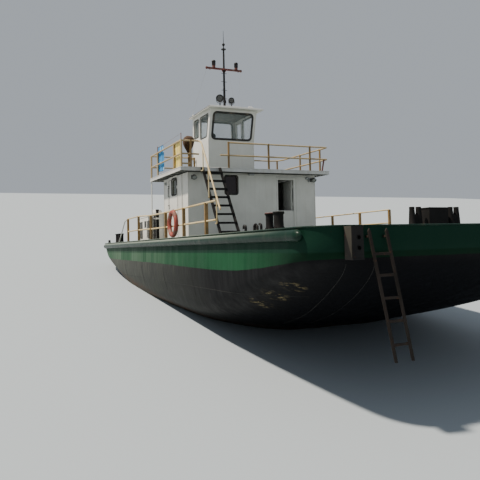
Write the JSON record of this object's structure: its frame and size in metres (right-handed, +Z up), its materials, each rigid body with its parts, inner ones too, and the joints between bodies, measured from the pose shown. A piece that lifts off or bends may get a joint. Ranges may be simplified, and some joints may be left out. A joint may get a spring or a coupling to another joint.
{
  "type": "tugboat",
  "caption": "Pusher tugboat with a broad barge-like hull, deckhouse, railed upper deck, wheelhouse, mast, bow ladder, push knees, propellers and rudders.",
  "frame": {"origin": "on the waterline, on the centreline, a little forward of amidships", "axes": "+X towards the bow, +Y to port, +Z up; the boat floats down by the stern, so decks and hull lean 6.65 degrees about Y and the deckhouse 5.57 degrees"},
  "size_m": [19.9843, 8.4106, 12.0934],
  "materials": {
    "hull_paint": "semi-gloss marine paint, weathered",
    "house_paint": "satin marine paint with rust runs",
    "rail_paint": "worn paint",
    "dark_steel": "worn black paint",
    "deck_paint": "matte deck paint",
    "bronze": "dull",
    "canvas": "matte canvas",
    "cloth_blue": "woven cloth",
    "cloth_yellow": "woven cloth",
    "ring": "faded",
    "glass": "clear"
  },
  "bodies": {
    "boat": {"hull": "hull_paint", "fender_starboard": "hull_paint", "fender_port": "hull_paint", "push_knee_starboard": "dark_steel", "push_knee_port": "dark_steel", "bow_ladder": "dark_steel", "bollard_bow_starboard": "dark_steel", "bollard_bow_port": "dark_steel", "bollard_stern_starboard": "dark_steel", "bollard_stern_port": "dark_steel", "towing_bitts": "dark_steel", "stair": "dark_steel", "mast": "dark_steel", "lamp_pedestal": "dark_steel", "flood_lamp_starboard": "dark_steel", "flood_lamp_port": "dark_steel", "deck_rail_starboard": "rail_paint", "deck_rail_port": "rail_paint", "upper_rail": "rail_paint", "engine_casing": "house_paint", "vent_box": "house_paint", "house_coaming": "house_paint", "house_wall_front": "house_paint", "house_wall_aft": "house_paint", "house_wall_starboard": "house_paint", "house_wall_port": "house_paint", "support_pole_starboard": "house_paint", "support_pole_port": "house_paint", "wheelhouse_wall_front": "house_paint", "wheelhouse_wall_starboard": "house_paint", "wheelhouse_wall_port": "house_paint", "wheelhouse_wall_aft": "house_paint", "wheelhouse_roof": "house_paint", "helm_console": "house_paint", "upper_deck": "deck_paint", "lamp_cover": "canvas", "rail_cloth_blue": "cloth_blue", "rail_cloth_yellow": "cloth_yellow", "life_ring": "ring", "house_glass_front": "glass", "house_glass_port": "glass", "wheelhouse_glass_front": "glass", "wheelhouse_glass_starboard": "glass", "wheelhouse_glass_port": "glass", "wheelhouse_glass_aft": "glass"},
    "propeller_starboard": {"propeller_starboard": "bronze"},
    "propeller_port": {"propeller_port": "bronze"},
    "rudder_starboard": {"rudder_starboard": "dark_steel"},
    "rudder_port": {"rudder_port": "dark_steel"},
    "house_side_door": {"house_door_starboard": "house_paint", "house_door_glass": "glass"},
    "house_front_door": {"house_door_front": "house_paint"},
    "house_front_door_lower": {"house_door_front_lower": "house_paint"},
    "wheelhouse_door": {"wheelhouse_door": "house_paint", "wheelhouse_door_glass": "glass"},
    "casing_hatch": {"casing_hatch": "house_paint"},
    "helm_wheel": {"helm_wheel": "dark_steel"},
    "searchlight_starboard": {"searchlight_starboard": "dark_steel"},
    "searchlight_port": {"searchlight_port": "dark_steel"}
  },
  "joints": [
    {"name": "propeller_starboard_shaft", "type": "hinge", "parent": "boat", "child": "propeller_starboard", "pos_m": [-6.6306, -1.75, -0.9845], "axis": [0.9933, 0, 0.1158], "continuous": true},
    {"name": "propeller_port_shaft", "type": "hinge", "parent": "boat", "child": "propeller_port", "pos_m": [-6.6306, 1.75, -0.9845], "axis": [0.9933, 0, 0.1158], "continuous": true},
    {"name": "rudder_starboard_stock", "type": "hinge", "parent": "boat", "child": "rudder_starboard", "pos_m": [-7.6735, -1.75, -1.1061], "axis": [-0.1158, 0, 0.9933], "range_deg": [-35, 35]},
    {"name": "rudder_port_stock", "type": "hinge", "parent": "boat", "child": "rudder_port", "pos_m": [-7.6735, 1.75, -1.1061], "axis": [-0.1158, 0, 0.9933], "range_deg": [-35, 35]},
    {"name": "house_side_door_hinge", "type": "hinge", "parent": "boat", "child": "house_side_door", "pos_m": [-2.9596, -2.5994, 3.0599], "axis": [-0.0971, 0, 0.9953], "range_deg": [0, 110]},
    {"name": "house_front_door_hinge", "type": "hinge", "parent": "boat", "child": "house_front_door", "pos_m": [-1.8362, 1.644, 3.6015], "axis": [-0.0971, 0, 0.9953], "range_deg": [0, 90]},
    {"name": "house_front_door_lower_hinge", "type": "hinge", "parent": "boat", "child": "house_front_door_lower", "pos_m": [-1.7363, 1.644, 2.5764], "axis": [0.0971, 0, -0.9953], "range_deg": [0, 90]},
    {"name": "wheelhouse_door_hinge", "type": "hinge", "parent": "boat", "child": "wheelhouse_door", "pos_m": [-5.911, 0.9346, 5.4246], "axis": [0.0971, 0, -0.9953], "range_deg": [0, 90]},
    {"name": "casing_hatch_hinge", "type": "hinge", "parent": "boat", "child": "casing_hatch", "pos_m": [-7.5044, 0, 2.4518], "axis": [0, -1, 0], "range_deg": [0, 100]},
    {"name": "helm_wheel_shaft", "type": "hinge", "parent": "boat", "child": "helm_wheel", "pos_m": [-4.7793, 0, 5.2939], "axis": [0.9953, 0, 0.0971], "continuous": true},
    {"name": "searchlight_starboard_pan", "type": "hinge", "parent": "boat", "child": "searchlight_starboard", "pos_m": [-4.0743, -0.54, 7.0315], "axis": [-0.0971, 0, 0.9953], "range_deg": [-170, 170]},
    {"name": "searchlight_port_pan", "type": "hinge", "parent": "boat", "child": "searchlight_port", "pos_m": [-4.0743, -0.037, 7.0315], "axis": [-0.0971, 0, 0.9953], "range_deg": [-170, 170]}
  ],
  "couplings": [
    {"joint": "rudder_port_stock", "follows": "rudder_starboard_stock", "ratio": 1}
  ]
}
